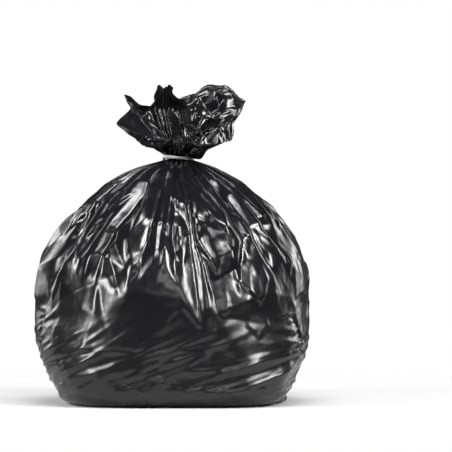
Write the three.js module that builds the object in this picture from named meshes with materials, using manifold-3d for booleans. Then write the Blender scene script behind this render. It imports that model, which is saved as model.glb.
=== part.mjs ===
// A full 50 litre refuse bag, tied shut and standing on its flat base.
// One piece of thin black film holds the rubbish: it is stretched over the load, gathered into
// pleats at the neck and spreads above the tie as a loose, lobed crown. A flat plastic ribbon is
// wound round the neck and knotted at the back.
// Millimetres, +Z up, the front towards -Y, the origin under the middle of the base.
import * as THREE from "three";
import { mergeVertices } from "three/addons/utils/BufferGeometryUtils.js";
import Module from "manifold-3d";

const wasm = await Module();
wasm.setup();

// ---- Driving dimensions ----
const BELLY_WIDTH = 430; // across, at the widest
const BELLY_DEPTH = 400; // front to back: the front and back stand upright below the widest part
const BELLY_HEIGHT = 140; // height of the widest part
const NECK_HEIGHT = 379; // the middle of the tie above the floor
const NECK_OFFSET = 8; // the neck leans this far to the right of the base
const NECK_WIDTH = 47; // the gathered film under the tie
const NECK_DEPTH = 40;
const TIE_WIDTH = 5; // the ribbon's width, up and down the neck
const TIE_THICKNESS = 1.4; // two turns of ribbon
const TIE_GAP = 0.3; // clear space between the ribbon and the film

// ---- Fineness of the facets ----
const COLUMNS = 84;
const BELLY_ROWS = 22;
const CROWN_ROWS = 8;
const MOUTH_ROWS = 4;

// Half the bag's width against height, from the edge of the flat base to the foot of the neck.
const BELLY_OUTLINE = new THREE.SplineCurve([
  new THREE.Vector2(156, 0),
  new THREE.Vector2(170, 10),
  new THREE.Vector2(193, 50),
  new THREE.Vector2(209, 92),
  new THREE.Vector2(BELLY_WIDTH / 2, BELLY_HEIGHT),
  new THREE.Vector2(212, 188),
  new THREE.Vector2(200, 235),
  new THREE.Vector2(174, 275),
  new THREE.Vector2(145, 311),
  new THREE.Vector2(107, 342),
  new THREE.Vector2(66, 362),
  new THREE.Vector2(36, 371),
  new THREE.Vector2(NECK_WIDTH / 2, NECK_HEIGHT - TIE_WIDTH),
]);

// The mouth of the bag: tips of the crown's lobes and the folds between them, anticlockwise
// from the right.
const MOUTH_EDGE = new THREE.CatmullRomCurve3(
  [
    [113, 10, 465],
    [92, 22, 478],
    [79, 26, 488],
    [44, 24, 491],
    [12, 24, 474],
    [-4, 32, 493],
    [-28, 32, 490],
    [-34, 38, 462],
    [-52, 30, 464],
    [-75, 14, 477],
    [-66, 2, 457],
    [-87, -28, 431],
    [-44, -42, 408],
    [-4, -36, 412],
    [6, -42, 452],
    [32, -52, 408],
    [64, -40, 424],
    [88, -12, 410],
  ].map(([x, y, z]) => new THREE.Vector3(x, y, z)),
  true,
  "centripetal",
);
const MOUTH_FLOOR_HEIGHT = 428; // the crumpled film fills the mouth up to here

const smooth = (low, high, value) => THREE.MathUtils.smoothstep(value, low, high);

// How far the section's middle has moved right at a height: none at the belly, all at the neck.
function lean(height) {
  const shoulder = 0.4 * smooth(200, 300, height);
  return NECK_OFFSET * (shoulder + 0.6 * smooth(355, NECK_HEIGHT - TIE_WIDTH, height));
}

// Depth over width of a section: it grows towards the base, whose front and back stay upright while
// its sides draw in, and the neck is nearly round.
function depthShare(height, halfWidth) {
  const neck = NECK_DEPTH / NECK_WIDTH;
  const low = Math.min(1.12, BELLY_DEPTH / 2 / halfWidth);
  const lower = height < BELLY_HEIGHT ? low : BELLY_DEPTH / BELLY_WIDTH;
  return THREE.MathUtils.lerp(lower, neck, smooth(340, NECK_HEIGHT - TIE_WIDTH, height));
}

// How square a section is: 2 is an ellipse, and the base is squarer.
function squareness(height) {
  return 2 + 1.5 * (1 - smooth(0, 170, height));
}

// Share of the half width that the pleats cut into the film: they run down from the neck and fade.
function pleatDepth(height, angle) {
  const share = 0.045 * smooth(235, 350, height) * (1 - 0.6 * smooth(360, 378, height));
  const wide = Math.cos(13 * angle + 0.7);
  const fine = Math.cos(29 * angle + 1.9);
  return share * (0.65 * wide + 0.35 * fine - 1) * 0.5;
}

// A point of the film between the base and the tie.
function bellyPoint(halfWidth, height, angle) {
  const power = squareness(height);
  const cosine = Math.cos(angle);
  const sine = Math.sin(angle);
  const round = (Math.abs(cosine) ** power + Math.abs(sine) ** power) ** (-1 / power);
  const reach = halfWidth * round * (1 + pleatDepth(height, angle));
  return new THREE.Vector3(
    lean(height) + reach * cosine,
    reach * sine * depthShare(height, halfWidth),
    height,
  );
}

// A point of the neck at the upper edge of the tie.
function neckPoint(angle) {
  return new THREE.Vector3(
    NECK_OFFSET + (NECK_WIDTH / 2) * Math.cos(angle),
    (NECK_DEPTH / 2) * Math.sin(angle),
    NECK_HEIGHT + TIE_WIDTH,
  );
}

// A point of the crown's outside: share 0 at the neck, 1 at the edge of the mouth.
function crownPoint(share, turn) {
  const foot = neckPoint(2 * Math.PI * turn);
  const tip = MOUTH_EDGE.getPoint(turn);
  const point = foot.clone().lerp(tip, share);
  // The film leaves the neck steeply and then falls outwards.
  point.z = THREE.MathUtils.lerp(foot.z, tip.z, share ** 0.85);
  return point;
}

// A point of the crumpled film that fills the mouth: share 0 at the edge, 1 in the middle.
function mouthPoint(share, turn) {
  const middle = new THREE.Vector3(NECK_OFFSET, 0, MOUTH_FLOOR_HEIGHT);
  return MOUTH_EDGE.getPoint(turn).lerp(middle, share);
}

// The rows of the film's skin, from the middle of the base to the middle of the mouth.
function skinRows() {
  const rows = [() => new THREE.Vector3(0, 0, 0)];
  for (let i = 0; i <= BELLY_ROWS; i++) {
    const { x: halfWidth, y: height } = BELLY_OUTLINE.getPointAt(i / BELLY_ROWS);
    rows.push((turn) => bellyPoint(halfWidth, Math.max(0, height), 2 * Math.PI * turn));
  }
  for (let i = 0; i <= CROWN_ROWS; i++) {
    rows.push((turn) => crownPoint(i / CROWN_ROWS, turn));
  }
  for (let i = 1; i <= MOUTH_ROWS; i++) {
    rows.push((turn) => mouthPoint(i / MOUTH_ROWS, turn));
  }
  return rows;
}

// A closed skin of revolution, whose vertices are then moved to each row's own points.
function skinGeometry(rows) {
  const profile = rows.map((_, i) => {
    const onAxis = i === 0 || i === rows.length - 1;
    return new THREE.Vector2(onAxis ? 0 : 1, i);
  });
  const geometry = new THREE.LatheGeometry(profile, COLUMNS);
  const position = geometry.getAttribute("position");
  for (let column = 0; column <= COLUMNS; column++) {
    const turn = (column % COLUMNS) / COLUMNS;
    rows.forEach((row, i) => {
      const point = row(turn);
      position.setXYZ(column * rows.length + i, point.x, point.y, point.z);
    });
  }
  return facingOut(geometry);
}

// The same geometry with its triangles turned round if they faced inwards.
function facingOut(geometry) {
  const solid = toSolid(geometry, false);
  return solid.volume() > 0 ? fromSolid(solid) : fromSolid(toSolid(geometry, true));
}

function toSolid(geometry, reversed) {
  const bare = new THREE.BufferGeometry();
  bare.setAttribute("position", geometry.getAttribute("position"));
  bare.setIndex(geometry.getIndex());
  const merged = mergeVertices(bare, 1e-3);
  const triVerts = new Uint32Array(merged.index.array);
  if (reversed) triVerts.reverse();
  return new wasm.Manifold(
    new wasm.Mesh({
      numProp: 3,
      vertProperties: new Float32Array(merged.attributes.position.array),
      triVerts,
    }),
  );
}

function fromSolid(solid) {
  const mesh = solid.getMesh();
  const geometry = new THREE.BufferGeometry();
  geometry.setAttribute("position", new THREE.BufferAttribute(mesh.vertProperties, 3));
  geometry.setIndex(new THREE.BufferAttribute(mesh.triVerts, 1));
  geometry.computeVertexNormals();
  return geometry;
}

// ---- The ribbon round the neck ----
const RING_COLUMNS = 48;
const RIBBON_WAVE = 0.8; // the ribbon's edge wanders up and down by this much
const TAIL_LENGTH = 32;
const KNOT_SIZE = [7, 4, 5];

// The wound ribbon: a closed flat section turned about the neck, then made oval and a little wavy.
function ribbonRing() {
  const inside = NECK_WIDTH / 2 + TIE_GAP;
  const outside = inside + TIE_THICKNESS;
  const half = TIE_WIDTH / 2;
  const section = [
    [inside, -half],
    [outside, -half],
    [outside, half],
    [inside, half],
    [inside, -half],
  ].map(([x, y]) => new THREE.Vector2(x, y));
  const geometry = new THREE.LatheGeometry(section, RING_COLUMNS);
  const position = geometry.getAttribute("position");
  for (let column = 0; column <= RING_COLUMNS; column++) {
    const angle = (2 * Math.PI * (column % RING_COLUMNS)) / RING_COLUMNS;
    section.forEach(({ x: radius, y: rise }, i) => {
      const depth = radius - (NECK_WIDTH - NECK_DEPTH) / 2;
      position.setXYZ(
        column * section.length + i,
        NECK_OFFSET + radius * Math.cos(angle),
        depth * Math.sin(angle),
        NECK_HEIGHT + rise + RIBBON_WAVE * Math.sin(2 * angle),
      );
    });
  }
  return facingOut(geometry);
}

// The knot: a small flattened ball of ribbon.
function knotGeometry() {
  const geometry = new THREE.SphereGeometry(1, 16, 10);
  geometry.scale(...KNOT_SIZE);
  geometry.translate(NECK_OFFSET, NECK_DEPTH / 2 + TIE_GAP + KNOT_SIZE[1], NECK_HEIGHT);
  return facingOut(geometry);
}

// One free end of the ribbon: a flat strip that leaves the knot and droops behind the neck.
// side is -1 or 1.
function tailGeometry(side) {
  const back = NECK_DEPTH / 2 + TIE_GAP + KNOT_SIZE[1];
  const path = new THREE.CatmullRomCurve3([
    new THREE.Vector3(NECK_OFFSET, back, NECK_HEIGHT),
    new THREE.Vector3(NECK_OFFSET + side * 10, back + 0.3 * TAIL_LENGTH, NECK_HEIGHT + 1),
    new THREE.Vector3(NECK_OFFSET + side * 14, back + 0.6 * TAIL_LENGTH, NECK_HEIGHT),
    new THREE.Vector3(NECK_OFFSET + side * 16, back + 0.9 * TAIL_LENGTH, NECK_HEIGHT - 4),
  ]);
  const section = new THREE.Shape();
  const [halfThick, halfWide] = [0.5, TIE_WIDTH / 2 - 0.3];
  section.moveTo(-halfWide, -halfThick);
  section.lineTo(halfWide, -halfThick);
  section.lineTo(halfWide, halfThick);
  section.lineTo(-halfWide, halfThick);
  section.closePath();
  return new THREE.ExtrudeGeometry(section, { steps: 10, extrudePath: path });
}

function tieGeometry() {
  const tails = [-1, 1].map((side) => toSolid(tailGeometry(side), false));
  const knot = toSolid(knotGeometry(), false);
  const ring = toSolid(ribbonRing(), false);
  return fromSolid(tails.reduce((whole, tail) => whole.add(tail), ring.add(knot)));
}

// ---- The assembly ----
function piece(name, geometry, material) {
  const mesh = new THREE.Mesh(geometry, material);
  mesh.name = name;
  return mesh;
}

const blackFilm = new THREE.MeshStandardMaterial({
  color: 0x0d0d0e,
  roughness: 0.24,
  metalness: 0,
});
const whiteRibbon = new THREE.MeshStandardMaterial({
  color: 0xe6e6e2,
  roughness: 0.35,
  metalness: 0,
});

const binBag = new THREE.Group();
binBag.add(piece("bag", skinGeometry(skinRows()), blackFilm));
binBag.add(piece("neck_tie", tieGeometry(), whiteRibbon));

export default binBag;
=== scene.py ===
import math

import bmesh
import bpy
import numpy as np
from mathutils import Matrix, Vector


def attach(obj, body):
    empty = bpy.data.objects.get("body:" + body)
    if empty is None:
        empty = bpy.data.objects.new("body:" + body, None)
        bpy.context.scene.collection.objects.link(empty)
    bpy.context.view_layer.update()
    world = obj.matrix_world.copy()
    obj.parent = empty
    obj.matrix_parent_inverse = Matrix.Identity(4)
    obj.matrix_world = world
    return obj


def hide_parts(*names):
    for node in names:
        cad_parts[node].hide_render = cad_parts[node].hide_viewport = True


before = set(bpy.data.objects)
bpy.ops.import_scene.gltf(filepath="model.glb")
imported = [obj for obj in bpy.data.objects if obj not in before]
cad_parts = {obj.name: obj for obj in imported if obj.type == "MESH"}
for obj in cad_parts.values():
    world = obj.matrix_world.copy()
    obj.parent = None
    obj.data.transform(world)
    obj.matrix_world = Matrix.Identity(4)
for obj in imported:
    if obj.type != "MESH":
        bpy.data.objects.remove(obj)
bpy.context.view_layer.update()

# ---------------------------------------------------------------- sizes, in metres
NECK_X = 0.008  # the neck leans this far to the right of the base
NECK_HEIGHT = 0.379  # the middle of the tie
NECK_RADIUS = 0.0236  # the outside of the gathered film under the tie
NECK_SHARE = 0.84  # depth over width of the gathered film
PLEATS = 26  # folds that run through the tie
PLEAT_CUT = 0.0155  # depth of those folds at the tie
TIE_HALF = 0.0042  # half the height of the waist that the ribbon makes
FILM = 0.0004  # thickness shown between the two sides of the crown
BELLY_WIDTH = 0.43  # across, at the widest
BELLY_DEPTH = 0.40  # front to back
WIDEST_AT = 0.14  # height of the widest part
FLOOR_RADIUS = 1.15  # where the pale floor has faded out

# ---------------------------------------------------------------- fineness of the film's mesh
COLUMNS = 480
BASE_ROWS = 7
BELLY_ROWS = 204
WAIST_ROWS = 6
CROWN_ROWS = 64
MOUTH_ROWS = 54

# Half the bag's width against height, from the edge of the flat base to the foot of the neck.
OUTLINE = [
    (0.154, 0.000),
    (0.168, 0.010),
    (0.192, 0.050),
    (0.209, 0.092),
    (BELLY_WIDTH / 2, WIDEST_AT),
    (0.212, 0.188),
    (0.198, 0.235),
    (0.172, 0.275),
    (0.144, 0.311),
    (0.107, 0.342),
    (0.066, 0.362),
    (0.036, 0.3715),
    (0.0247, 0.3748),
]

rng = np.random.default_rng(21)


def smooth(low, high, value):
    """0 below low, 1 above high, and an S-shaped step between them."""
    t = np.clip((value - low) / (high - low), 0.0, 1.0)
    return t * t * (3.0 - 2.0 * t)


def mix(a, b, t):
    """a where t is 0, b where t is 1."""
    return a + (b - a) * t


def turn_between(a, b):
    """The angle from b to a, between -pi and pi."""
    return (a - b + math.pi) % (2 * math.pi) - math.pi


def spline(points, count, closed=False):
    """Points evenly spaced along a Catmull-Rom curve, and its length."""
    p = np.array(points, float)
    if closed:
        p = np.vstack([p[-1], p, p[0], p[1]])
    else:
        p = np.vstack([2 * p[0] - p[1], p, 2 * p[-1] - p[-2]])
    t = np.linspace(0, 1, 24, endpoint=False)[:, None]
    runs = []
    for a, b, c, d in zip(p[:-3], p[1:-2], p[2:-1], p[3:]):
        bend = (2 * a - 5 * b + 4 * c - d) * t**2 + (3 * b - a - 3 * c + d) * t**3
        runs.append(0.5 * (2 * b + (c - a) * t + bend))
    if not closed:
        runs.append(p[-2:-1])
    curve = np.vstack(runs)
    if closed:
        curve = np.vstack([curve, curve[:1]])
    along = np.concatenate([[0], np.cumsum(np.linalg.norm(np.diff(curve, axis=0), axis=1))])
    even = np.linspace(0, along[-1], count, endpoint=not closed)
    return np.stack([np.interp(even, along, curve[:, k]) for k in range(p.shape[1])], -1), along[-1]


profile, FILM_HEIGHT = spline(OUTLINE, BELLY_ROWS + 1)
half_width = profile[:, 0]
height = profile[:, 1]
along = np.linspace(0, FILM_HEIGHT, BELLY_ROWS + 1)

ONE = np.ones((BELLY_ROWS + 1, COLUMNS))
TURN = 2 * math.pi * np.arange(COLUMNS)[None, :] / COLUMNS * ONE
ANGLE = turn_between(TURN, 0.0)
R = half_width[:, None] * ONE
Z = height[:, None] * ONE
S = along[:, None] * ONE


def value_noise(rows, columns, cells_up, cells_round, draw):
    """Smooth noise over the film that closes round the bag."""
    g = draw.normal(0, 1, (cells_up + 2, cells_round))
    x = np.arange(columns) / columns * cells_round
    y = np.linspace(0, cells_up, rows)
    xi = np.floor(x).astype(int)
    yi = np.minimum(np.floor(y).astype(int), cells_up - 1)
    xf = smooth(0, 1, x - xi)
    yf = smooth(0, 1, y - yi)[:, None]
    low = g[yi][:, xi % cells_round] * (1 - xf) + g[yi][:, (xi + 1) % cells_round] * xf
    high = g[yi + 1][:, xi % cells_round] * (1 - xf) + g[yi + 1][:, (xi + 1) % cells_round] * xf
    return low * (1 - yf) + high * yf


class Creases:
    """Flat triangles between scattered points of the film: how it lies once it is crumpled.
    cells_up and cells_round count the points; at() spreads values given at the points over the film."""

    def __init__(self, seed, rows, cells_up, cells_round, jitter=0.40, slant=0.0, stagger=0.0):
        draw = np.random.default_rng(seed)
        nv = cells_up + 3
        nu = cells_round
        i, j = np.meshgrid(np.arange(nu), np.arange(nv))
        self.x = i + draw.uniform(-jitter, jitter, (nv, nu))
        self.y = j + stagger * (i % 2) + draw.uniform(-jitter, jitter, (nv, nu))
        flip = self.diagonals(draw.random((nv, nu)) < 0.5)
        self.random = draw.uniform(-1, 1, (nv, nu))
        y = np.linspace(0.5, cells_up + 1.0, rows)[:, None] * np.ones((1, COLUMNS))
        x = np.arange(COLUMNS)[None, :] / COLUMNS * nu + slant * (y - 0.5)
        self.turn = 2 * math.pi * (self.x - slant * (self.y - 0.5)) / nu
        self.share = np.clip((self.y - 0.5) / (cells_up + 0.5), 0, 1)
        self.points = np.zeros((3, rows, COLUMNS), int)
        self.weights = np.zeros((3, rows, COLUMNS))
        free = np.ones((rows, COLUMNS), bool)
        for dj in (0, -1, 1):
            for di in (0, -1, 1):
                ci = np.floor(x).astype(int) + di
                cj = np.clip(np.floor(y).astype(int) + dj, 0, nv - 2)
                f = flip[cj, ci % nu]
                one = np.ones_like(f)
                for corners in (
                    ((0 * one, 0 * one), (one, 0 * one), (f, one)),
                    ((1 - f, 0 * one), (one, one), (0 * one, one)),
                ):
                    xs = []
                    ys = []
                    index = []
                    for a, b in corners:
                        pi = ci + a
                        pj = cj + b
                        xs.append(self.x[pj, pi % nu] + (pi - pi % nu))
                        ys.append(self.y[pj, pi % nu])
                        index.append(pj * nu + pi % nu)
                    det = (xs[1] - xs[0]) * (ys[2] - ys[0]) - (xs[2] - xs[0]) * (ys[1] - ys[0])
                    det = np.where(np.abs(det) < 1e-9, 1e-9, det)
                    w1 = ((x - xs[0]) * (ys[2] - ys[0]) - (xs[2] - xs[0]) * (y - ys[0])) / det
                    w2 = ((xs[1] - xs[0]) * (y - ys[0]) - (x - xs[0]) * (ys[1] - ys[0])) / det
                    inside = (w1 > -1e-6) & (w2 > -1e-6) & (w1 + w2 < 1 + 1e-6) & free
                    free &= ~inside
                    for k, w in enumerate((1 - w1 - w2, w1, w2)):
                        self.points[k] = np.where(inside, index[k], self.points[k])
                        self.weights[k] = np.where(inside, w, self.weights[k])

    def diagonals(self, flip):
        """Which way each cell is cut in two: the other way where its corners don't allow the first."""
        nu = self.x.shape[1]
        right = np.roll(self.x, -1, 1)
        right[:, -1] += nu
        p = np.stack([self.x, self.y], -1)[:-1]
        q = np.stack([right, np.roll(self.y, -1, 1)], -1)[:-1]
        r = np.stack([right, np.roll(self.y, -1, 1)], -1)[1:]
        s = np.stack([self.x, self.y], -1)[1:]

        def area(a, b, c):
            """Twice the area of a triangle, above 0 where it isn't turned over."""
            return (b - a)[..., 0] * (c - a)[..., 1] - (c - a)[..., 0] * (b - a)[..., 1]

        good_flip = np.minimum(area(p, q, r), area(p, r, s)) > 0.02
        good_plain = np.minimum(area(p, q, s), area(q, r, s)) > 0.02
        flip = flip.astype(int)
        flip[:-1] = np.where(good_flip & good_plain, flip[:-1], good_flip.astype(int))
        return flip

    def at(self, values):
        """Values given at the scattered points, spread flat over the facets between them."""
        flat = values.reshape(self.x.size, -1)
        spread = (flat[self.points] * self.weights[..., None]).sum(0)
        return spread if values.ndim == 3 else spread[..., 0]

    def heights(self):
        """A random height at each point, between -1 and 1."""
        return self.at(self.random)


def zigzag(x):
    """A triangle wave between -1 and 1, one turn for each whole number."""
    return 2 * np.abs(2 * (x - np.floor(x + 0.5))) - 1


# ---------------------------------------------------------------- the belly
def lean(z):
    """How far the section's middle has moved right at a height."""
    return NECK_X * (0.4 * smooth(0.2, 0.3, z) + 0.6 * smooth(0.355, NECK_HEIGHT - 0.004, z))


# The long folds in front fan out from the gathered neck, each down to the tip where it dies out:
# angle at the neck, angle and height of the tip, how far its middle bows round (all angles in
# degrees), depth, width on its left and on its right.
FRONT_FOLDS = [
    (-145, -150, 0.16, -6, 0.011, 0.010, 0.018),
    (-135, -135, 0.20, 0, 0.010, 0.010, 0.022),
    (-115, -125, 0.18, -4, 0.012, 0.020, 0.010),
    (-120, -110, 0.16, -10, 0.007, 0.010, 0.020),
    (-100, -105, 0.19, 0, 0.012, 0.012, 0.018),
    (-95, -95, 0.20, -2, 0.009, 0.012, 0.010),
    (-90, -86, 0.16, -2, 0.008, 0.010, 0.020),
    (-85, -78, 0.11, 2, 0.012, 0.020, 0.009),
    (-82, -70, 0.13, 0, 0.008, 0.008, 0.016),
    (-80, -67, 0.18, -3, 0.014, 0.010, 0.020),
    (-74, -58, 0.27, 0, 0.011, 0.022, 0.010),
    (-62, -62, 0.16, 8, 0.009, 0.012, 0.022),
    (-50, -40, 0.19, 0, 0.013, 0.010, 0.018),
    (-40, -30, 0.20, 6, 0.011, 0.018, 0.010),
]
FOLD_TOP = 0.35  # height at which the long folds leave the gathers
FOLD_EDGE = 0.002  # how round the film is at the bottom of a long fold

# Tongues of folded film in front: angle and height of the tip, height of the top, half width,
# rise, and how far the tongue leans (radians of turn per metre up).
LEAVES = [
    (-78, 0.112, 0.20, 0.026, 0.0035, -0.8),
    (-68, 0.126, 0.19, 0.015, 0.0028, -0.6),
    (-75, 0.061, 0.150, 0.012, 0.0035, 0.2),
    (-54, 0.101, 0.150, 0.024, 0.0026, 0.2),
    (-109, 0.180, 0.24, 0.014, 0.0030, 0.9),
    (-150, 0.155, 0.23, 0.020, 0.0030, 0.6),
    (-131, 0.180, 0.26, 0.010, 0.0028, 0.9),
    (-52, 0.150, 0.245, 0.034, 0.0030, -0.6),
    (-62, 0.262, 0.32, 0.020, 0.0035, -1.6),
    (-28, 0.195, 0.26, 0.020, 0.0030, -0.9),
    (-112, 0.255, 0.32, 0.018, 0.0030, 1.6),
    (100, 0.14, 0.24, 0.026, 0.0035, 0.6),
    (62, 0.17, 0.26, 0.022, 0.0032, -0.5),
    (135, 0.16, 0.25, 0.020, 0.0030, 0.8),
    (25, 0.18, 0.26, 0.018, 0.0030, -0.7),
]
PLEAT_FADING = rng.random(PLEATS)  # how much weaker each pleat is below the neck


def back_folds(count):
    """Long folds like those in front, spread round the back."""
    folds = []
    for k in range(count):
        top = 6 + 168 * (k + 0.5) / count + rng.normal(0, 1.7)
        tip = top + rng.normal(0, 4.6)
        tip_z = rng.uniform(0.13, 0.29)
        bow = rng.normal(0, 1.7)
        depth = rng.uniform(0.007, 0.013)
        left = rng.uniform(0.008, 0.02)
        right = rng.uniform(0.008, 0.02)
        folds.append((top, tip, tip_z, bow, depth, left, right))
    return folds


def fold_depth(folds):
    """How far the long folds draw the film in: where two meet, the deeper one shows."""
    out = 0 * R
    for top, tip, tip_z, bow, depth, left, right in folds:
        middle = 0.5 * (top + tip) + bow
        heights = [tip_z, 0.5 * (tip_z + FOLD_TOP), FOLD_TOP]
        line = np.radians(np.interp(Z, heights, [tip, middle, top]))
        life = smooth(tip_z - 0.004, tip_z + 0.07, Z) * (1 - smooth(0.335, 0.372, Z))
        spread = 0.3 + 0.7 * smooth(tip_z, tip_z + 0.08, Z)
        side = turn_between(ANGLE, line) * R
        width = np.where(side > 0, right, left) * spread
        away = np.sqrt(side**2 + FOLD_EDGE**2) - FOLD_EDGE
        out = np.minimum(out, -1.25 * depth * life * np.exp(-away / width))
    return out


def leaf_rise(leaves):
    """Folded tongues of film: flat, raised, and cut to a point at the lower end."""
    out = 0 * R
    for angle, tip, top, half, rise, skew in leaves:
        up = (Z - tip) / (top - tip)
        middle = math.radians(angle) + skew * (Z - tip)
        side = np.abs(turn_between(ANGLE, middle)) * R
        width = half * np.clip(up * 2.2, 0, 1)
        edge = smooth(0.0, 0.010, width - side) * (up > 0)
        out = np.maximum(out, rise * edge * (1 - smooth(0.55, 1.0, up)))
    return out


# The creased side edges of the flat bag, seen in the lower part as crimped lines: angle at the
# top, angle at the base, the side that the broad panel is on, and the way its folds run.
SIDE_EDGES = [(-157, -163, 1, 0.30), (-34, -10, -1, -0.30), (34, 11, 1, -0.25), (150, 165, -1, 0.3)]
# The long folds that leave the two front edges: height at the edge, slope, length, half width, rise.
LONG_FOLDS = {
    -157: [
        (0.118, 0.06, 0.13, 0.009, 0.0036),
        (0.102, 0.20, 0.10, 0.007, 0.0030),
        (0.085, 0.27, 0.17, 0.010, 0.0044),
        (0.070, 0.33, 0.12, 0.007, 0.0032),
        (0.056, 0.37, 0.16, 0.009, 0.0040),
        (0.044, 0.33, 0.11, 0.006, 0.0028),
        (0.034, 0.27, 0.18, 0.009, 0.0038),
        (0.022, 0.15, 0.14, 0.007, 0.0030),
        (0.011, 0.06, 0.16, 0.006, 0.0026),
    ],
    -34: [
        (0.113, 0.10, 0.09, 0.008, 0.0032),
        (0.100, -0.03, 0.13, 0.009, 0.0036),
        (0.090, -0.25, 0.10, 0.007, 0.0032),
        (0.080, -0.42, 0.13, 0.011, 0.0050),
        (0.064, -0.30, 0.10, 0.007, 0.0032),
        (0.052, -0.14, 0.16, 0.009, 0.0040),
        (0.040, -0.10, 0.10, 0.006, 0.0028),
        (0.028, -0.06, 0.15, 0.008, 0.0036),
        (0.013, 0.02, 0.17, 0.007, 0.0030),
    ],
}


def ridge(z0, slope, x, width, spread):
    """A fold with a sharp crest that leaves a side edge at height z0; x is the distance from it."""
    return np.clip(1 - np.abs(Z - z0 - slope * x) / (width + spread * np.abs(x)), 0, 1)


def plain_folds(slant):
    """Long folds for a side edge that has none of its own listed."""
    folds = []
    for z0 in np.arange(0.016, 0.12, 0.02):
        slope = slant + rng.uniform(-0.15, 0.15)
        reach = rng.uniform(0.05, 0.13)
        rise = rng.uniform(0.004, 0.006)
        folds.append((z0, slope, reach, 0.010, rise))
    return folds


def side_crimps():
    """Short crimps across the side edges, and long folds that fan out from them."""
    out = 0 * R
    low = smooth(0.002, 0.010, Z)
    for top, bottom, panel, slant in SIDE_EDGES:
        line = np.interp(Z, [0.0, 0.05, 0.14], np.radians([bottom, 0.5 * (top + bottom), top]))
        x = turn_between(ANGLE, line) * R * panel
        here = low * (1 - smooth(0.128, 0.150, Z))
        out -= 0.0038 * here * np.exp(-np.abs(x) / 0.006)
        z = 0.006
        while z < 0.142:
            z += rng.uniform(0.006, 0.010)
            reach = rng.uniform(0.012, 0.034)
            size = rng.uniform(0.0022, 0.0042)
            slope = slant + rng.uniform(-0.45, 0.45)
            near = np.where(x > 0, np.exp(-x / reach), np.exp(x / 0.012))
            out += size * low * near * ridge(z, slope, x, 0.0042, 0.06)
        for z0, slope, reach, width, size in LONG_FOLDS.get(top) or plain_folds(slant):
            far = smooth(0, 0.02, x) * (1 - smooth(0.3 * reach, reach, x))
            out += size * low * far * ridge(z0, slope, x, width, 0.06)
    return out


# The folded corners of the sealed end: angle, how far each stands out, height of its tip.
CORNERS = [(-163, 0.008, 0.008), (-10, 0.015, 0.003), (12, 0.009, 0.006), (165, 0.010, 0.007)]


def corner_ears():
    """The corners, pushed out at the floor: pointed, with a fold above."""
    out = 0 * R
    for angle, size, tip_z in CORNERS:
        side = np.abs(turn_between(ANGLE, math.radians(angle))) * R
        tip = np.clip(1 - side / 0.022, 0, 1) * np.clip(1 - np.abs(Z - tip_z) / 0.014, 0, 1)
        fold = np.clip(1 - side / 0.016, 0, 1) * np.clip(1 - np.abs(Z - 0.032) / 0.012, 0, 1)
        out += size * (tip + 0.5 * fold)
    return out


def low_folds(count):
    """Long shallow folds with sharp crests that run slantwise over the taut film low down."""
    draw = np.random.default_rng(21)
    out = 0 * R
    for k in range(count):
        middle = 2 * math.pi * (k + draw.uniform(0.1, 0.9)) / count
        z0 = draw.uniform(0.008, 0.105)
        slope = draw.normal(0.34, 0.16)
        reach = draw.uniform(0.05, 0.12)
        width = draw.uniform(0.004, 0.008)
        x = turn_between(ANGLE, middle) * R
        life = 1 - smooth(0.3 * reach, reach, np.abs(x))
        out += 0.26 * width * life * ridge(z0, slope, x, width, 0.03)
    return out * smooth(0.002, 0.008, Z)


def crumpled_share(z, turn):
    """0 where the film is drawn taut over the load, low down and highest in the middle of the front,
    and 1 where it hangs crumpled above."""
    top = 0.135 + 0.055 * np.exp(-((turn_between(turn, math.radians(-97)) / 0.34) ** 2))
    return smooth(top - 0.035, top + 0.03, z)


def belly_relief():
    """How far the film stands out from the plain round form, and how the pleats wander at the neck."""
    rows = BELLY_ROWS + 1
    relief = fold_depth(FRONT_FOLDS) + fold_depth(back_folds(24))
    # gathered pleats next to the neck
    wander = 0.9 * value_noise(rows, COLUMNS, 1, 13, rng)
    at_neck = wander[-1]
    wander = at_neck + 0.35 * (wander - at_neck) * (1 - smooth(0.30, 0.36, Z))
    amount = np.interp(Z, [0.23, 0.28, 0.32, 0.35, 0.375], [0, 0.0035, 0.0090, 0.0125, PLEAT_CUT])
    turns = TURN / (2 * math.pi) * PLEATS + wander
    fading = PLEAT_FADING[np.floor(turns).astype(int) % PLEATS]
    strength = 1 - 0.45 * fading * (1 - smooth(0.34, 0.375, Z))
    relief += amount * strength * 0.5 * (zigzag(turns) - 1)
    relief += leaf_rise(LEAVES)
    # crumpled film
    crumpled = crumpled_share(Z, TURN)
    upper = crumpled * (1 - smooth(0.285, 0.345, Z))
    patch = np.clip(0.65 + 0.45 * value_noise(rows, COLUMNS, 4, 9, rng), 0.15, 1.3)
    relief += 0.0040 * Creases(1, rows, 12, 38, slant=0.2).heights() * upper * patch
    relief += 0.0020 * Creases(2, rows, 22, 72, slant=-0.15).heights() * upper * patch
    relief += 0.0007 * Creases(3, rows, 40, 130, slant=0.1).heights() * (0.4 + 0.6 * upper) * patch
    # taut film low down
    low = (1 - crumpled) * smooth(0.0, 0.012, Z)
    relief += 0.0018 * Creases(4, rows, 10, 20, slant=-0.4).heights() * low
    relief += 0.0009 * Creases(5, rows, 18, 40, slant=0.5).heights() * low
    relief += 0.0004 * Creases(6, rows, 34, 84, slant=-0.3).heights() * low
    foot = smooth(0.0, 0.006, Z) * (1 - smooth(0.025, 0.06, Z))
    relief += 0.0012 * Creases(8, rows, 26, 36, slant=0.6).heights() * foot
    relief += side_crimps() + corner_ears() + low_folds(110)
    return relief, at_neck


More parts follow.
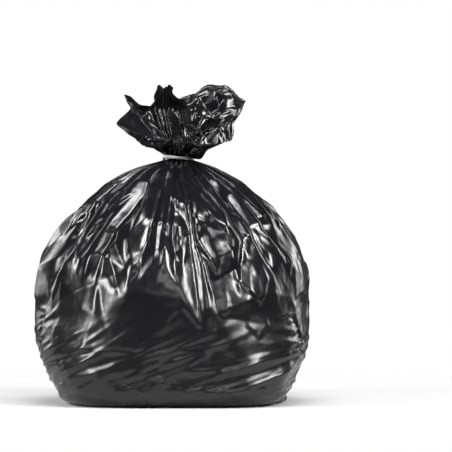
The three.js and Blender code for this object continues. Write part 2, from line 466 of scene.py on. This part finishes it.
def depth_share(z, r):
    """Depth over width: the front and back stand upright below the widest part."""
    low = np.minimum(1.12, BELLY_DEPTH / 2 / r)
    lower = np.where(z < WIDEST_AT, low, BELLY_DEPTH / BELLY_WIDTH)
    return mix(lower, NECK_SHARE, smooth(0.34, 0.375, z))


def section(turn, along_film, relief):
    """The point of the bag at an angle and at a height along the film, moved in or out by relief."""
    r = np.interp(along_film, along, half_width)
    z = np.interp(along_film, along, height)
    power = 2 + 1.5 * (1 - smooth(0.0, 0.17, z))
    c, s = np.cos(turn), np.sin(turn)
    reach = r * (np.abs(c) ** power + np.abs(s) ** power) ** (-1 / power) + relief
    return np.stack([lean(z) + reach * c, reach * s * depth_share(z, r), z], -1)


def belly_points(relief):
    """The film from the edge of the base to the neck."""
    smooth_film = section(TURN, S, relief)
    # the broad facets: the film is flat from crease to crease
    broad = Creases(7, BELLY_ROWS + 1, 9, 26, jitter=0.33, stagger=0.5)
    s = broad.share * FILM_HEIGHT
    z = np.interp(s, along, height)
    lively = mix(0.0030, 0.009 * (1 - smooth(0.32, 0.36, z)), crumpled_share(z, broad.turn))
    flat = broad.at(section(broad.turn, s, lively * broad.random - 0.001))
    # what the facets add, as an offset from the round form that they cut across
    share = 0.75 * mix(0.30, 1.0, crumpled_share(Z, TURN)) * smooth(0.01, 0.05, Z)
    share = share * (1 - smooth(0.325, 0.365, Z))
    return smooth_film + (flat - section(TURN, S, 0)) * share[..., None]


# ---------------------------------------------------------------- the crown
# The crown, anticlockwise from the right. Each line is one direction: where the film turns over
# (its brow), its free edge (the rim), how gathered it is (1 is flat), how far the neck's pleats
# run on into it, and how crumpled it is.
CROWN = [
    ((0.092, 0.004, 0.424), (0.100, 0.002, 0.437), 1.3, 0.3, 1.0),
    ((0.100, 0.018, 0.450), (0.1135, 0.010, 0.465), 1.4, 0.3, 1.0),
    ((0.088, 0.030, 0.462), (0.092, 0.022, 0.478), 1.5, 0.3, 1.1),
    ((0.076, 0.036, 0.470), (0.079, 0.026, 0.489), 1.5, 0.3, 1.2),
    ((0.062, 0.040, 0.470), (0.063, 0.026, 0.484), 1.6, 0.3, 1.2),
    ((0.044, 0.042, 0.474), (0.044, 0.024, 0.491), 1.6, 0.3, 1.2),
    ((0.028, 0.042, 0.472), (0.026, 0.022, 0.490), 1.6, 0.4, 1.1),
    ((0.012, 0.042, 0.462), (0.012, 0.024, 0.474), 1.5, 0.6, 0.8),
    ((0.000, 0.040, 0.460), (-0.0015, 0.030, 0.478), 1.5, 0.8, 0.5),
    ((-0.006, 0.044, 0.462), (-0.0040, 0.032, 0.5020), 1.8, 0.5, 0.53),
    ((-0.016, 0.044, 0.462), (-0.0150, 0.036, 0.4900), 2.0, 0.55, 0.5),
    ((-0.024, 0.042, 0.458), (-0.0280, 0.032, 0.4940), 1.8, 0.5, 0.53),
    ((-0.030, 0.040, 0.446), (-0.033, 0.038, 0.460), 1.6, 0.8, 0.6),
    ((-0.044, 0.034, 0.446), (-0.052, 0.030, 0.464), 1.4, 0.6, 0.8),
    ((-0.058, 0.024, 0.454), (-0.0660, 0.024, 0.4770), 1.4, 0.6, 0.52),
    ((-0.062, 0.014, 0.450), (-0.0800, 0.012, 0.4770), 1.4, 0.6, 0.50),
    ((-0.050, 0.006, 0.440), (-0.066, 0.002, 0.457), 1.2, 0.6, 0.3),
    ((-0.062, -0.018, 0.418), (-0.0870, -0.028, 0.4315), 1.2, 0.2, 0.2),
    ((-0.050, -0.034, 0.407), (-0.066, -0.042, 0.417), 1.6, 0.3, 0.8),
    ((-0.032, -0.034, 0.399), (-0.040, -0.042, 0.406), 1.8, 0.4, 0.9),
    ((-0.016, -0.032, 0.398), (-0.021, -0.037, 0.404), 1.7, 0.5, 0.8),
    ((-0.001, -0.034, 0.402), (0.000, -0.036, 0.412), 1.5, 0.5, 0.5),
    ((-0.001, -0.036, 0.412), (-0.004, -0.038, 0.446), 1.6, 0.4, 0.5),
    ((0.008, -0.042, 0.416), (0.004, -0.041, 0.458), 2.0, 0.3, 0.6),
    ((0.018, -0.048, 0.408), (0.018, -0.046, 0.430), 2.0, 0.3, 0.9),
    ((0.030, -0.050, 0.398), (0.032, -0.052, 0.404), 1.8, 0.4, 1.0),
    ((0.044, -0.046, 0.400), (0.047, -0.048, 0.414), 1.8, 0.5, 1.1),
    ((0.060, -0.038, 0.402), (0.064, -0.040, 0.424), 1.7, 0.5, 1.1),
    ((0.074, -0.026, 0.406), (0.081, -0.026, 0.430), 1.6, 0.4, 1.0),
    ((0.080, -0.010, 0.400), (0.0900, -0.010, 0.404), 1.3, 0.3, 0.8),
]
BROW_AT = 0.68  # the brow's share of the way from the tie to the rim
HOLLOW = np.array([0.032, -0.008, 0.414])  # the bottom of the mouth


def surface_normals(p):
    """Which way a sheet of points faces, outwards."""
    across = np.roll(p, -1, 1) - np.roll(p, 1, 1)
    up = np.gradient(p, axis=0)
    n = np.cross(across, up)
    return n / (np.linalg.norm(n, axis=-1, keepdims=True) + 1e-12)


def crown_rings():
    """The brow, the rim, the pleats and the crumpling for each column of the film."""
    table = np.array([(*brow, *rim, *rest) for brow, rim, *rest in CROWN])
    ring, _ = spline(table, 24 * len(CROWN), closed=True)
    ring = np.vstack([ring, ring[:1]])
    steps = np.linalg.norm(np.diff(ring[:, 3:6], axis=0), axis=1) * ring[1:, 6]
    film = np.concatenate([[0], np.cumsum(steps)])
    even = np.linspace(0, film[-1], COLUMNS, endpoint=False)
    ring = np.stack([np.interp(even, film, column) for column in ring.T], -1)
    return ring[:, :3], ring[:, 3:6], ring[:, 7], ring[:, 8]


def folded_flat(seed, sheet, out, cells_up, cells_round, rise, share):
    """A curved sheet turned into flat facets between points of it that are pushed in or out."""
    rows = len(sheet)
    broad = Creases(seed, rows, cells_up, cells_round, jitter=0.36)
    row = (broad.share * (rows - 1)).round().astype(int)
    column = (broad.turn / (2 * math.pi) * COLUMNS).round().astype(int) % COLUMNS
    pushed = sheet[row, column] + out[row, column] * (broad.random * rise[row, column])[..., None]
    return mix(sheet, broad.at(pushed), share[..., None])


def crown_points(wander):
    """The outside of the crown, from the neck to the rim."""
    rows = CROWN_ROWS + 1
    turn = 2 * math.pi * np.arange(COLUMNS) / COLUMNS
    brow, rim, pleated, crumpled = crown_rings()
    t = np.linspace(0, 1, rows)[:, None, None]
    mean = NECK_RADIUS - 0.5 * PLEAT_CUT
    radial = np.stack([np.cos(turn), np.sin(turn) * NECK_SHARE, 0 * turn], -1)
    foot = mean * radial + np.array([NECK_X, 0, NECK_HEIGHT + TIE_HALF])
    # one smooth curve through the foot, the brow and the rim
    at_foot = (t - BROW_AT) * (t - 1) / BROW_AT
    at_brow = t * (1 - t) / (BROW_AT * (1 - BROW_AT))
    at_rim = t * (t - BROW_AT) / (1 - BROW_AT)
    sheet = foot * at_foot + brow * at_brow + rim * at_rim
    n = surface_normals(sheet)
    n = mix(radial[None] * np.ones_like(n), n, smooth(0.05, 0.4, t))
    climb = t[..., 0] * np.ones((1, COLUMNS))
    wave = zigzag(turn / (2 * math.pi) * PLEATS + wander)[None, :]
    amount = np.interp(climb, [0, 0.12, 0.4, 1.0], [0.5 * PLEAT_CUT, 0.0062, 0.0035, 0.0025])
    push = amount * wave * mix(1.0, pleated[None, :], smooth(0.1, 0.45, climb))
    loose = smooth(0.05, 0.4, climb) * np.clip(crumpled, 0, 1.2)[None, :]
    push = push + 0.0040 * Creases(511, rows, 5, 36).heights() * loose
    push = push + 0.0012 * Creases(12, rows, 9, 60).heights() * loose
    rise = 0.0095 * smooth(0.1, 0.5, climb) * crumpled[None, :]
    share = 0.9 * smooth(0.12, 0.4, climb) * smooth(0.2, 0.8, crumpled)[None, :]
    out = folded_flat(513, sheet, n, 3, 30, rise, share) + n * push[..., None]
    # the film sags over the ribbon on the right
    right = np.exp(-((turn_between(turn, math.radians(-40)) / 0.50) ** 2))[None, :]
    sag = right * smooth(0.03, 0.14, climb) * (1 - smooth(0.16, 0.45, climb))
    out[..., 2] -= 0.007 * sag
    out[..., :2] *= 1 + 0.02 * sag[..., None]
    return out


def mouth_points(crown):
    """The inside of the crown, from its rim to the bottom of the mouth: on the left it follows the
    outer film down; on the right the crumpled film fills it."""
    rim = crown[-1]
    inner = crown - FILM * surface_normals(crown)
    s = np.linspace(0, 1, MOUTH_ROWS + 1)[1:, None]
    down = ((1 - 0.80 * np.clip(s[:, 0] / 0.9, 0, 1)) * CROWN_ROWS).round().astype(int)
    wall = mix(inner[down], HOLLOW, smooth(0.85, 1.0, s)[..., None])
    across = rim[None] + (HOLLOW - rim)[None] * s[..., None]
    across[..., 2] = mix(rim[:, 2], HOLLOW[2], s**0.75)
    inward = s * np.ones((1, COLUMNS))
    forward = np.broadcast_to(np.array([0.1, -0.75, 0.65]), across.shape)
    calm = smooth(0.0, 0.12, inward) * (1 - smooth(0.8, 1.0, inward))
    across = folded_flat(514, across, forward, 4, 26, 0.012 * calm, 0.95 * calm)
    push = 0.0040 * Creases(515, MOUTH_ROWS, 6, 36).heights() * calm
    push = push + 0.0012 * Creases(16, MOUTH_ROWS, 11, 60).heights() * calm
    across = across + forward * push[..., None]
    right = smooth(0.0, 0.025, rim[:, 0])[None, :, None]
    return mix(wall, across, right)


def film_grid():
    """Every row of the closed skin, from the middle of the base to the bottom of the mouth."""
    relief, wander = belly_relief()
    belly = belly_points(relief)
    base_edge = belly[0]
    shares = np.linspace(0, 1, BASE_ROWS + 1)[:-1]
    base = [base_edge * np.array([k, k, 1.0]) for k in shares]
    crown = crown_points(wander)
    waist = [mix(belly[-1], crown[0], smooth(0, 1, k / WAIST_ROWS)) for k in range(1, WAIST_ROWS)]
    return np.array(base + list(belly) + waist + list(crown) + list(mouth_points(crown)))


def soften(p, amount):
    """Each point moved part of the way to the mean of its neighbours, to round the sharpest edges."""
    below = np.vstack([p[:1], p[:-1]])
    above = np.vstack([p[1:], p[-1:]])
    mean = 0.25 * (np.roll(p, 1, 1) + np.roll(p, -1, 1) + below + above)
    return p + amount * (mean - p)


def make_bag():
    """The film as one closed mesh, with a UV layer that runs round it and up it."""
    grid = film_grid()
    rows = len(grid)
    grid[BASE_ROWS:-2] = soften(grid[BASE_ROWS:-2], 0.25)
    grid[..., 2] = np.maximum(grid[..., 2], 0.0)
    bm = bmesh.new()
    bm.loops.layers.uv.new("film")
    bmesh.ops.create_grid(bm, x_segments=COLUMNS, y_segments=rows - 1, size=1.0, calc_uvs=True)
    for v in bm.verts:
        column = round((v.co.x + 1) / 2 * COLUMNS)
        row = round((v.co.y + 1) / 2 * (rows - 1))
        v.co = Vector(grid[row, column % COLUMNS])
    bmesh.ops.remove_doubles(bm, verts=bm.verts, dist=1e-7)
    bmesh.ops.recalc_face_normals(bm, faces=bm.faces)
    for f in bm.faces:
        f.smooth = True
    mesh = bpy.data.meshes.new("bag_film")
    bm.to_mesh(mesh)
    bm.free()
    bag = bpy.data.objects.new("bag_film", mesh)
    bpy.context.scene.collection.objects.link(bag)
    return bag


# ---------------------------------------------------------------- the ribbon
RIBBON_THICK = 0.00035
RIBBON_GAP = 0.0004  # from the gathered film to the first turn
TURN_GAP = 0.0008  # from the first turn to the second
TIE_BACK = NECK_RADIUS * NECK_SHARE + 0.004  # how far behind the neck's middle the knot sits


def strip(bm, stations, steps):
    """A flat ribbon along a curve. Each station: a point, half width, and how far the flat is turned
    from upright (0) towards lying flat (pi / 2)."""
    table = np.array([(*point, half, tilt) for point, half, tilt in stations])
    path, _ = spline(table, steps + 1)
    along_path = np.gradient(path[:, :3], axis=0)
    along_path /= np.linalg.norm(along_path, axis=1, keepdims=True)
    out = np.cross(along_path, [0, 0, 1])
    out /= np.linalg.norm(out, axis=1, keepdims=True) + 1e-9
    up = np.cross(out, along_path)
    across = up * np.cos(path[:, 4:]) + out * np.sin(path[:, 4:])
    made = bmesh.ops.create_grid(bm, x_segments=steps, y_segments=4, size=1.0)
    for v in made["verts"]:
        i = round((v.co.x + 1) / 2 * steps)
        v.co = Vector(path[i, :3] + across[i] * path[i, 3] * v.co.y)


def wound_stations():
    """The ribbon's way round the neck: twice, from the knot at the back to the knot again."""
    stations = []
    count = 36
    for k in range(count + 1):
        share = k / count
        angle = math.pi / 2 + 4 * math.pi * share
        front = turn_between(angle, -math.pi / 2)
        second = share > 0.5
        radius = NECK_RADIUS + RIBBON_GAP + (TURN_GAP if second else 0.0)
        # wide and flat on the left, drawn narrow in the middle of the front
        half = 0.0022 - 0.0010 * math.exp(-(((front - 0.15) / 0.45) ** 2))
        twist = 0.25 * math.exp(-(((front - 0.2) / 0.25) ** 2)) if second else 0.0
        tilt = 0.08 * math.sin(3 * angle) + twist
        layer = 0.0005 if second else -0.0004
        rise = 0.0005 * math.sin(2 * angle + 0.6) - 0.0012 * math.cos(angle) + layer
        point = (
            NECK_X + radius * math.cos(angle),
            radius * NECK_SHARE * math.sin(angle),
            NECK_HEIGHT + rise,
        )
        stations.append((point, half, tilt))
    return stations


def knot_stations():
    """One tight turn of ribbon over itself."""
    stations = []
    for k in range(17):
        a = 2 * math.pi * k / 16 * 1.5
        point = (
            NECK_X + 0.0042 * math.sin(a),
            TIE_BACK + 0.0022 * math.cos(a) + 0.0006 * k / 16,
            NECK_HEIGHT + 0.0022 * math.sin(2 * a + 0.5),
        )
        stations.append((point, 0.0024, 0.5 * math.sin(a)))
    return stations


def tail_stations(side, droop):
    """A free end of the ribbon: out of the knot, back and down behind the neck."""
    path = [
        (0.001, 0.001, 0.0, 0.0020, 0.2),
        (0.007, 0.004, 0.0020, 0.0024, 0.5),
        (0.012, 0.010, 0.0015, 0.0025, 0.9 * side),
        (0.015, 0.018, -0.002, 0.0025, 0.5 * side),
        (0.017, 0.028, -droop, 0.0025, 0.1),
    ]
    return [
        ((NECK_X + side * x, TIE_BACK + back, NECK_HEIGHT + up), half, tilt)
        for x, back, up, half, tilt in path
    ]


def fix_order(bm):
    """Lists the faces by their corners, because solidify leaves them in a new order each run."""
    bm.verts.index_update()
    count = len(bm.verts)

    def place(face):
        """One whole number for a face's three lowest corners."""
        first, second, third = sorted(v.index for v in face.verts)[:3]
        return (first * count + second) * count + third

    bm.faces.sort(key=place)


def make_tie():
    """The ribbon, its knot and its two free ends."""
    bm = bmesh.new()
    strip(bm, wound_stations(), 260)
    strip(bm, knot_stations(), 60)
    strip(bm, tail_stations(-1, 0.004), 40)
    strip(bm, tail_stations(1, 0.006), 40)
    for f in bm.faces:
        f.smooth = True
    bmesh.ops.solidify(bm, geom=bm.faces, thickness=RIBBON_THICK)
    fix_order(bm)
    bmesh.ops.recalc_face_normals(bm, faces=bm.faces)
    mesh = bpy.data.meshes.new("ribbon_tie")
    bm.to_mesh(mesh)
    bm.free()
    tie = bpy.data.objects.new("ribbon_tie", mesh)
    bpy.context.scene.collection.objects.link(tie)
    return tie


# ---------------------------------------------------------------- materials
def principled(name):
    """A new material, its nodes and its main shader."""
    m = bpy.data.materials.new(name)
    m.use_nodes = True
    return m, m.node_tree, m.node_tree.nodes["Principled BSDF"]


def combine(tree, a, b, operation="MULTIPLY"):
    """A maths node over two values, each a socket or a number."""
    node = tree.nodes.new("ShaderNodeMath")
    node.operation = operation
    for socket, value in zip(node.inputs, (a, b)):
        if isinstance(value, (int, float)):
            socket.default_value = value
        else:
            tree.links.new(value, socket)
    return node.outputs[0]


def ramp(tree, value, start, stop, low=0.0, high=1.0):
    """A value from start to stop, spread from low to high."""
    node = tree.nodes.new("ShaderNodeMapRange")
    node.inputs["From Min"].default_value = start
    node.inputs["From Max"].default_value = stop
    node.inputs["To Min"].default_value = low
    node.inputs["To Max"].default_value = high
    tree.links.new(value, node.inputs["Value"])
    return node.outputs["Result"]


def stretched(tree, place, scale, rotation=(0, 0, 0), kind="POINT"):
    """Places drawn out along their axes, so that a pattern laid on them is too."""
    node = tree.nodes.new("ShaderNodeMapping")
    node.vector_type = kind
    node.inputs["Rotation"].default_value = rotation
    node.inputs["Scale"].default_value = scale
    tree.links.new(place, node.inputs["Vector"])
    return node.outputs[0]


def noise(tree, place, scale, detail, kind="FBM", roughness=0.5):
    """A noise pattern laid over the given places."""
    node = tree.nodes.new("ShaderNodeTexNoise")
    node.noise_type = kind
    node.inputs["Scale"].default_value = scale
    node.inputs["Detail"].default_value = detail
    node.inputs["Roughness"].default_value = roughness
    tree.links.new(place, node.inputs["Vector"])
    return node.outputs["Fac"]


def bump(tree, height, distance, strength, normal=None):
    """The relief of a pattern, on top of any relief given as normal."""
    node = tree.nodes.new("ShaderNodeBump")
    node.inputs["Distance"].default_value = distance
    node.inputs["Strength"].default_value = strength
    tree.links.new(height, node.inputs["Height"])
    if normal is not None:
        tree.links.new(normal, node.inputs["Normal"])
    return node.outputs[0]


def two_tones(tree, share, first, second):
    """A colour between two others."""
    tone = tree.nodes.new("ShaderNodeMix")
    tone.data_type = "RGBA"
    tone.inputs[6].default_value = (*first, 1)
    tone.inputs[7].default_value = (*second, 1)
    tree.links.new(share, tone.inputs[0])
    return tone.outputs[2]


def film_relief(tree, place, hanging, taut, below_neck):
    """The film's fine relief: dimples, a crinkle, streaks along the gathers and low creases."""
    dimples = noise(tree, place, 34.0, 2.0)
    n = bump(tree, combine(tree, dimples, below_neck), 0.0016, 0.12)
    crinkle = noise(tree, place, 70.0, 3.0, "RIDGED_MULTIFRACTAL", 0.45)
    n = bump(tree, combine(tree, crinkle, below_neck), 0.0007, 0.20, n)
    # hairline creases along the gathers
    film = tree.nodes.new("ShaderNodeUVMap")
    film.uv_map = "film"
    streaks = noise(tree, stretched(tree, film.outputs[0], (46.0, 5.0, 1.0)), 4.0, 3.0)
    gathered = combine(tree, hanging, below_neck)
    n = bump(tree, combine(tree, streaks, gathered), 0.0012, 0.20, n)
    # fine creases that run slantwise over the taut film low down
    slope = (0, math.radians(-23), math.radians(29))
    slant = stretched(tree, place, (0.14, 0.02, 0.02), slope, "TEXTURE")
    creases = noise(tree, slant, 1.0, 3.0, "RIDGED_MULTIFRACTAL", 0.5)
    return bump(tree, combine(tree, creases, taut), 0.0020, 0.55, n)


def black_film():
    """Thin black film: glossy, finely creased, and duller where it is drawn taut low down."""
    m, tree, shader = principled("black_film")
    place = tree.nodes.new("ShaderNodeTexCoord").outputs["Object"]
    apart = tree.nodes.new("ShaderNodeSeparateXYZ")
    tree.links.new(place, apart.inputs[0])
    hanging = ramp(tree, apart.outputs["Z"], 0.12, 0.24)
    taut = combine(tree, 1.0, hanging, "SUBTRACT")
    below_neck = ramp(tree, apart.outputs["Z"], 0.40, 0.38, 0.25)
    relief = film_relief(tree, place, hanging, taut, below_neck)
    tree.links.new(relief, shader.inputs["Normal"])
    rough = ramp(tree, noise(tree, place, 22.0, 4.0), 0.0, 1.0, 0.12, 0.21)
    duller = combine(tree, taut, 0.11)
    tree.links.new(combine(tree, rough, duller, "ADD"), shader.inputs["Roughness"])
    patches = noise(tree, place, 9.0, 5.0)
    black = two_tones(tree, patches, (0.0035, 0.0035, 0.0040), (0.0085, 0.0085, 0.0095))
    tree.links.new(black, shader.inputs["Base Color"])
    return m


def white_ribbon():
    """A white plastic ribbon: fine ribs along it and a slightly uneven sheen."""
    m, tree, shader = principled("white_ribbon")
    place = tree.nodes.new("ShaderNodeTexCoord").outputs["Object"]
    n = bump(tree, noise(tree, place, 260.0, 3.0), 0.0004, 0.3)
    ribs = noise(tree, stretched(tree, place, (60.0, 60.0, 1500.0)), 1.0, 2.0)
    n = bump(tree, ribs, 0.0002, 0.35, n)
    tree.links.new(n, shader.inputs["Normal"])
    white = two_tones(tree, noise(tree, place, 120.0, 3.0), (0.70, 0.70, 0.68), (0.86, 0.86, 0.85))
    tree.links.new(white, shader.inputs["Base Color"])
    sheen = ramp(tree, noise(tree, place, 90.0, 2.0), 0.0, 1.0, 0.22, 0.42)
    tree.links.new(sheen, shader.inputs["Roughness"])
    return m


# ---------------------------------------------------------------- studio
def make_floor():
    """A pale round floor that fades out into the white room."""
    bm = bmesh.new()
    bmesh.ops.create_circle(bm, cap_ends=True, segments=96, radius=FLOOR_RADIUS)
    mesh = bpy.data.meshes.new("floor")
    bm.to_mesh(mesh)
    bm.free()
    floor = bpy.data.objects.new("floor", mesh)
    bpy.context.scene.collection.objects.link(floor)
    m, tree, shader = principled("pale_floor")
    shader.inputs["Base Color"].default_value = (0.6, 0.6, 0.6, 1)
    shader.inputs["Roughness"].default_value = 0.9
    shader.inputs["Specular IOR Level"].default_value = 0.0
    place = tree.nodes.new("ShaderNodeTexCoord")
    reach = tree.nodes.new("ShaderNodeVectorMath")
    reach.operation = "LENGTH"
    fade = tree.nodes.new("ShaderNodeMapRange")
    fade.interpolation_type = "SMOOTHERSTEP"
    fade.inputs["From Min"].default_value = 0.30
    fade.inputs["From Max"].default_value = FLOOR_RADIUS
    clear = tree.nodes.new("ShaderNodeBsdfTransparent")
    blend = tree.nodes.new("ShaderNodeMixShader")
    tree.links.new(place.outputs["Object"], reach.inputs[0])
    tree.links.new(reach.outputs["Value"], fade.inputs["Value"])
    tree.links.new(fade.outputs["Result"], blend.inputs[0])
    tree.links.new(shader.outputs[0], blend.inputs[1])
    tree.links.new(clear.outputs[0], blend.inputs[2])
    tree.links.new(blend.outputs[0], tree.nodes["Material Output"].inputs["Surface"])
    mesh.materials.append(m)
    return floor


def softbox(name, place, width, tall, watts):
    """A soft rectangular light aimed at the bag, brighter in its middle."""
    aim = Vector((0, 0, 0.22))
    middle = Vector(place)
    for part, size, share, nearer in (("edge", 1.0, 0.6, 0.0), ("core", 0.5, 0.4, 0.03)):
        light = bpy.data.lights.new(f"{name}_{part}", "AREA")
        light.shape = "RECTANGLE"
        light.size = size * width
        light.size_y = size * tall
        light.energy = share * watts
        lamp = bpy.data.objects.new(light.name, light)
        bpy.context.scene.collection.objects.link(lamp)
        lamp.location = middle + nearer * (aim - middle)
        lamp.rotation_euler = (aim - middle).to_track_quat("-Z", "Y").to_euler()


def make_world():
    """A white room behind the bag that itself gives only a little light."""
    world = bpy.data.worlds.new("studio")
    bpy.context.scene.world = world
    world.use_nodes = True
    tree = world.node_tree
    room = tree.nodes["Background"]
    room.inputs["Color"].default_value = (1, 1, 1, 1)
    room.inputs["Strength"].default_value = 0.06
    backdrop = tree.nodes.new("ShaderNodeBackground")
    backdrop.inputs["Color"].default_value = (1, 1, 1, 1)
    path = tree.nodes.new("ShaderNodeLightPath")
    blend = tree.nodes.new("ShaderNodeMixShader")
    tree.links.new(path.outputs["Is Camera Ray"], blend.inputs[0])
    tree.links.new(room.outputs[0], blend.inputs[1])
    tree.links.new(backdrop.outputs[0], blend.inputs[2])
    tree.links.new(blend.outputs[0], tree.nodes["World Output"].inputs["Surface"])


def make_camera():
    """A far camera with a long lens, almost level with the bag."""
    data = bpy.data.cameras.new("camera")
    data.sensor_width = 36.0
    distance = 6.0
    seen_across = 0.7015
    data.lens = data.sensor_width * distance / seen_across
    camera = bpy.data.objects.new("camera", data)
    bpy.context.scene.collection.objects.link(camera)
    tilt = math.radians(0.6)
    aim = Vector((0.082, 0, 0.2727))
    camera.location = aim + distance * Vector((0, -math.cos(tilt), math.sin(tilt)))
    camera.rotation_euler = (aim - camera.location).to_track_quat("-Z", "Y").to_euler()
    bpy.context.scene.camera = camera


# ---------------------------------------------------------------- everything together
make_camera()
make_world()
softbox("left_box", (-1.7, -1.0, 1.2), 0.7, 1.4, 42)
softbox("right_box", (1.5, -1.1, 1.4), 0.7, 1.2, 42)
softbox("top_box", (0.1, -0.9, 2.0), 1.4, 0.5, 26)
softbox("front_box", (0.3, -2.6, 1.7), 2.4, 0.9, 13)
softbox("back_left_box", (-1.6, 1.2, 0.9), 1.0, 1.6, 15)
softbox("back_right_box", (1.6, 1.2, 0.9), 1.0, 1.6, 15)
softbox("over_box", (0.0, 1.5, 2.0), 2.2, 1.0, 20)
floor = make_floor()

bag = make_bag()
bag.data.materials.append(black_film())
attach(bag, "root")
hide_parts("bag")

tie = make_tie()
tie.data.materials.append(white_ribbon())
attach(tie, "root")
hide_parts("neck_tie")

bpy.context.scene.view_settings.view_transform = "Standard"
